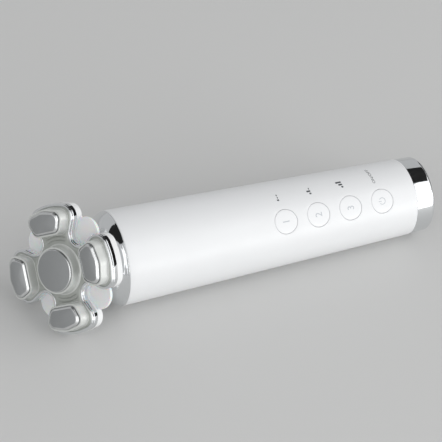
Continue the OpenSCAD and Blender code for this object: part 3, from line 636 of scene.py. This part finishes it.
def neck():
    """Hollow elbow: straight out of the collar, one bend, and a small fillet at the head."""
    radius, bore = NECK_D / 2, NECK_D / 2 - NECK_T
    tilt = math.radians(HEAD_TILT)
    bend_start = BEND_Z - radius * math.tan(tilt / 2)
    foot_len, foot_step, fillet = 2, 0.8, 0.9
    foot_z = SEAM_Z - DOME_DROP + DOME_R - COLLAR_T - foot_len
    hinge, back = Matrix.Translation((radius, 0, bend_start)), Matrix.Translation((-radius, 0, 0))
    stations = [(Matrix.Translation((0, 0, z)), radius)
                for z in np.linspace(foot_z + foot_len, bend_start, 6)[:-1]]
    stations += [(hinge @ Matrix.Rotation(tilt * k / 16, 4, "Y") @ back, radius) for k in range(17)]
    to_head = Matrix.Translation((0, 0, BEND_Z)) @ Matrix.Rotation(tilt, 4, "Y")
    head_end = arc((radius + fillet, BACK_H0 - fillet), fillet, 180, 90)
    stations += [(to_head @ Matrix.Translation((0, 0, h)), r) for r, h in head_end]
    foot = [(Matrix.Translation((0, 0, z)), radius + foot_step) for z in (foot_z, foot_z + foot_len)]
    outside = foot + stations
    inside = [(place, bore) for place, _ in reversed(outside)]
    rings = [[place @ Vector(p) for p in circle(r, 0, 96)] for place, r in outside + inside]
    piece("neck_elbow", [skin(rings, closed=True)], HANDLE, "device", [GLOSS_ABS], ["neck"])


def head_back_shell():
    """Gloss shell at the back of the petals: rounded back edge, hole for the neck, open front."""
    bore, wall, lip = NECK_D / 2 - NECK_T, BACK_GAP + BACK_WALL, 0.15
    profile = [(wall, FLOOR_H), (wall, BAND_H0), (BACK_GAP + lip, BAND_H0), (BACK_GAP, BAND_H0 - lip)]
    profile += [(BACK_GAP + BACK_EDGE_R * (1 - math.cos(t)), BACK_H0 + BACK_EDGE_R * (1 - math.sin(t)))
                for t in np.radians(np.linspace(0, 90, 11))]
    outside = [ring(petals(g), h) for g, h in profile]
    hole = [circle(bore, h) for h in (BACK_H0, FLOOR_H)]
    solid = [skin(outside, capped=False), flat(outside[-1], hole[:1]), skin(hole, capped=False),
             flat(outside[0], hole[1:])]
    piece("gloss_back_shell", solid, HEAD, "device", [GLOSS_ABS], ["head_back_shell"])


def light_guide():
    """Milky disc with a round lobe in each notch between two petals."""
    edge, top = 0.3, FLOOR_H + GUIDE_T
    disc_top = top - 0.02        # just under the lobes' tops, so that these show whole
    lobe = arc((GUIDE_LOBE_R - edge, FLOOR_H + edge), edge, -90, 0)
    lobe += arc((GUIDE_LOBE_R - edge, top - edge), edge, 0, 90)
    disc = [(GUIDE_BORE, FLOOR_H), (GUIDE_DISC_R, FLOOR_H), (GUIDE_DISC_R, disc_top),
            (GUIDE_BORE, disc_top)]
    solid = [lathe(disc, closed=True)]
    for a in (45, 135, 225, 315):
        points, faces = lathe(lobe)
        solid.append((points + [*turned((NOTCH_D, 0), a), 0], faces))
    piece("milky_light_guide", solid, HEAD, "device", [MILKY], ["light_guide"])


def chrome_band():
    """Mirror band round the petals, with a fine bead and a groove behind it at the front edge."""
    bead, groove = 0.9, 0.25
    bead_h = PLATE_H - bead
    corners = [(BAND_T, BAND_H0), (0, BAND_H0), (0, bead_h - 2 * groove), (groove, bead_h - 1.5 * groove),
               (groove, bead_h - 0.3 * groove), (0, bead_h + 0.1), (0, PLATE_H), (BAND_T, PLATE_H)]
    radii = [0, 0.15, 0.1, 0.06, 0.06, 0.2, 0.42, 0.25]
    profile = rounded(corners, radii)
    rings = [ring(petals(g), h) for g, h in profile]
    piece("mirror_band", [skin(rings, closed=True)], HEAD, "device", [CHROME],
          ["chrome_band"])


# Fine steps round the middle of the plate, and the patch on each petal's foot that carries them
STEP_R, STEP_W, STEP_DEPTH = (12.2, 13.8), 0.5, 0.25
PATCH_R, PATCH_HALF, PATCH_FADE = (12.0, 14.4), 26, 4    # radii in mm, angles in degrees


def step_patch(k):
    """The part of petal k's foot that carries the fine steps: rings from its near to its far side."""
    across, rings = np.linspace(-PATCH_HALF, PATCH_HALF, 53), []
    angles = np.radians(90 * k + across)
    fade = np.clip((PATCH_HALF - abs(across)) / PATCH_FADE, 0, 1)
    steps = [r + STEP_W * s for r in STEP_R for s in np.linspace(0, 1, 9)]
    for r in [PATCH_R[0], *steps, PATCH_R[1]]:
        share = [math.sin(math.pi * (r - r0) / STEP_W) ** 2 for r0 in STEP_R if r0 < r < r0 + STEP_W]
        depth = STEP_DEPTH * sum(share) * fade
        rings.append(np.column_stack([r * np.cos(angles), r * np.sin(angles), PLATE_H - depth]))
    return np.array(rings)


def sheet(rings):
    """Open skin over rows of points."""
    rows, n = rings.shape[:2]
    faces = [(k * n + i, k * n + i + 1, (k + 1) * n + i + 1, (k + 1) * n + i)
             for k in range(rows - 1) for i in range(n - 1)]
    return rings.reshape(-1, 3), faces


def face_plate():
    """Pearl plate inside the band, with two fine steps round the middle on each petal."""
    edge, fit = 0.3, 0.02
    hub = [circle(CENTRE_D / 2 + RIM_W, h) for h in (PLATE_H, PLATE_H - PLATE_T)]
    side = [ring(petals(BAND_T + fit), h) for h in (PLATE_H - PLATE_T, PLATE_H - edge)]
    side += [ring(petals(BAND_T + edge * (1 - math.cos(t))), PLATE_H - edge * (1 - math.sin(t)))
             for t in np.radians([30, 60, 90])]
    patches = [step_patch(k) for k in range(4)]
    rims = [np.vstack([p[0, :-1], p[:-1, -1], p[-1, :0:-1], p[:0:-1, 0]]) for p in patches]
    solid = [skin(side, capped=False), flat(side[-1], [hub[0], *rims]), skin(hub, capped=False),
             flat(side[0], [hub[1]]), *[sheet(p) for p in patches]]
    piece("pearl_face_plate", solid, HEAD, "device", [PEARL_PAINTED_SHADE], ["face_plate"])


def pad_profile(top, recess, flare):
    """Profile of a raised pad, as (distance inside the electrode's edge, height)."""
    rim_edge, seat_edge, draft = 0.3, 0.12, 0.08
    profile = arc((-RIM_W - flare, PLATE_H + flare), flare, -90, 0)
    profile += arc((-RIM_W + draft + rim_edge, top - rim_edge), rim_edge, 180, 90)
    profile += arc((-seat_edge, top - seat_edge), seat_edge, 90, 0, 4)
    return profile + [(0, recess)]


def electrode_profile(foot, edge, bevel_w, bevel_h):
    """Profile of an electrode's side and polished bevel, up to the edge of its crowned face."""
    fit, corner = 0.05, 0.3
    slope = math.degrees(math.atan2(bevel_h, bevel_w - fit))
    start = arc((fit + corner, edge - bevel_h), corner, 180, 90 + slope, 5)
    return [(fit, foot)] + start + [(bevel_w, edge)]


def crown_rings(edge):
    """Rings that close an edge over a gently crowned face."""
    middle = edge.mean(0)
    shares = [0.97, 0.9, 0.8, 0.65, 0.5, 0.35, 0.2, 0.08]
    return [middle + (edge - middle) * s + [0, 0, FACE_CROWN * (1 - s * s)] for s in shares]


def leaning(points):
    """Points of a petal's electrode, leant in: its inner end lies lower than its outer end."""
    drop = [0, 0, math.tan(math.radians(LEAN))]
    return points + np.outer(points[:, 0] - PETAL_REACH, drop)


def polished_faces(rings_before_face, count):
    """Numbers of the faces between the side's first ring and the face's edge."""
    return range(count, (rings_before_face - 1) * count)


def petal_pad(k):
    """Pad and electrode of petal k."""
    place = HEAD @ Matrix.Rotation(math.radians(90 * k), 4, "Z")
    number = str(k + 1)
    profile = pad_profile(PETAL_RIM_H, PETAL_RIM_H - SEAT_DEPTH, 0.2)
    rings = [ring(electrode(g), h) for g, h in profile]
    piece("pearl_pad_" + number, [skin(rings)], place, "device", [PEARL_PAINTED_LIGHT],
          ["petal_rim_" + number])
    profile = electrode_profile(PETAL_RIM_H - SEAT_DEPTH, PETAL_FACE_H - CROWN, BEVEL_W, BEVEL_H)
    rings = [ring(electrode(g, FACE_SOFTENING * g / BEVEL_W), h) for g, h in profile]
    rings[2:] = [leaning(points) for points in rings[2:]]
    bevel = polished_faces(len(rings), len(rings[0]))
    rings += crown_rings(rings[-1])
    piece("satin_electrode_" + number, [skin(rings)], place, "device", [SATIN_SILVER, POLISHED_BEVEL],
          ["petal_electrode_" + number], bevel)


def centre_pad():
    """Round pad and electrode in the middle of the head."""
    r = CENTRE_D / 2
    foot = CENTRE_RIM_H - CENTRE_SEAT
    profile = pad_profile(CENTRE_RIM_H, foot, 0.9)
    piece("pearl_centre_pad", [lathe([(r - g, h) for g, h in profile])], HEAD, "device", [PEARL_PAINTED_LIGHT],
          ["centre_rim"])
    profile = electrode_profile(foot, HEAD_REACH - CROWN, CENTRE_BEVEL, CENTRE_BEVEL)
    rings = [circle(r - g, h) for g, h in profile]
    bevel = polished_faces(len(rings), ROUND)
    rings += crown_rings(rings[-1])
    piece("satin_centre_electrode", [skin(rings)], HEAD, "device", [SATIN_SILVER, POLISHED_BEVEL],
          ["centre_electrode"], bevel)


# ---- Stage ----

def sheet_object(name, points, faces, material):
    """Stage piece with one material."""
    mesh = bpy.data.meshes.new(name)
    mesh.from_pydata(points, [], faces)
    mesh.materials.append(material)
    made = bpy.data.objects.new(name, mesh)
    bpy.context.scene.collection.objects.link(made)
    return made


def facing(target, distance, azimuth, elevation):
    """Place at a distance from target whose +Z faces it. Azimuth 0 is towards -Y, 90 towards +X."""
    a, e = math.radians(azimuth), math.radians(elevation)
    away = Vector((math.sin(a) * math.cos(e), -math.cos(a) * math.cos(e), math.sin(e)))
    turn = (-away).to_track_quat("Z", "Y").to_matrix().to_4x4()
    return Matrix.Translation(Vector(target) + away * distance) @ turn


def plain(name, colour, roughness):
    material = bpy.data.materials.new(name)
    material.use_nodes = True
    shader = material.node_tree.nodes["Principled BSDF"]
    shader.inputs["Base Color"].default_value = srgb(colour)
    shader.inputs["Roughness"].default_value = roughness
    return material


def floor():
    """Pale matt table, under the device and all round it."""
    half = 3                     # metres
    corners = [(-half, -half, 0), (half, -half, 0), (half, half, 0), (-half, half, 0)]
    sheet_object("floor", corners, [(0, 1, 2, 3)], plain("pale_table", "#D2D2D1", 0.6))


def cloth(name, colour):
    return plain(name, colour, 0.9)


def glowing(name, colour, strength):
    material = cloth(name, colour)
    shader = material.node_tree.nodes["Principled BSDF"]
    shader.inputs["Emission Color"].default_value = srgb(colour)
    shader.inputs["Emission Strength"].default_value = strength
    return material


def gloss_sheet(name, material, rows):
    """Cloth between two rows of points, seen in reflections only."""
    count = len(rows[0])
    faces = [(i, i + 1, count + i + 1, count + i) for i in range(count - 1)]
    hung = sheet_object(name, [*rows[0], *rows[1]], faces, material)
    hung.visible_camera = hung.visible_diffuse = hung.visible_shadow = False


def canopy(name, material, first, last, radius=1.6, half=2.0):
    """Cloth over the table, along X: angles run from the front (0) over the top (90)."""
    angles = np.radians(np.linspace(first, last, 13))
    gloss_sheet(name, material, [
        [(x, -radius * math.cos(a), radius * math.sin(a)) for a in angles] for x in (-half, half)])


def curtain(name, material, first, last, low, high, radius=2.8):
    """Cloth that stands round the table: angles run from +X (0) towards +Y (90)."""
    angles = np.radians(np.linspace(first, last, 13))
    gloss_sheet(name, material, [
        [(radius * math.cos(a), radius * math.sin(a), z) for a in angles] for z in (low, high)])


def softbox(name, size, watts, place):
    lamp = bpy.data.lights.new(name, "AREA")
    lamp.shape, lamp.size, lamp.size_y, lamp.energy = "RECTANGLE", size[0], size[1], watts
    holder = bpy.data.objects.new(name, lamp)
    holder.matrix_world = place @ Matrix.Rotation(math.pi, 4, "X")
    bpy.context.scene.collection.objects.link(holder)


def studio():
    """Pale room, three soft lamps, and the cloths that the chrome and the electrodes reflect."""
    world = bpy.data.worlds.new("pale_room")
    world.use_nodes = True
    background = world.node_tree.nodes["Background"]
    background.inputs["Color"].default_value = srgb("#FAFBFC")
    background.inputs["Strength"].default_value = 0.555
    bpy.context.scene.world = world
    middle = (0, 0, 0.02)
    softbox("front_softbox", (2.34, 1.62), 11.5, facing(middle, 1.8, 54, 36))
    softbox("low_softbox", (1.8, 0.54), 9.4, facing(middle, 1.62, 45, 9))
    softbox("head_softbox", (1.44, 1.44), 6.5, facing(middle, 1.98, -50, 35))
    canopy("dark_canopy", cloth("black_cloth", "#1C1C1C"), 79, 132)
    curtain("dark_curtain", cloth("dark_cloth", "#141414"), -40, 50, 0.0, 1.17)
    curtain("pale_curtain", glowing("pale_cloth", "#FFFFFF", 0.7), 184, 240, 0.07, 1.4)


# The photograph's own view, fitted to the tube, its ends, the keys and the middle electrode
CAMERA_AT = (-0.305276, -0.540299, 0.638279)
CAMERA_TURN = (45.253, -5.903, -23.243)
CAMERA_LENS, CAMERA_SENSOR = 162.46, 36


def camera():
    lens = bpy.data.cameras.new("photo_view")
    lens.sensor_width, lens.lens, lens.clip_end = CAMERA_SENSOR, CAMERA_LENS, 20
    holder = bpy.data.objects.new("photo_view", lens)
    holder.location = CAMERA_AT
    holder.rotation_euler = [math.radians(a) for a in CAMERA_TURN]
    bpy.context.scene.collection.objects.link(holder)
    bpy.context.scene.camera = holder


finish_frame_nodes()
handle_shell()
for key, number in (("power_key", 0), ("key_3", 1), ("key_2", 2), ("key_1", 3)):
    key_cap(key, number)
printed_marks()
end_cap()
collar()
neck()
head_back_shell()
light_guide()
chrome_band()
face_plate()
centre_pad()
for petal in range(4):
    petal_pad(petal)
floor()
studio()
camera()
bpy.context.scene.view_settings.view_transform = "Standard"
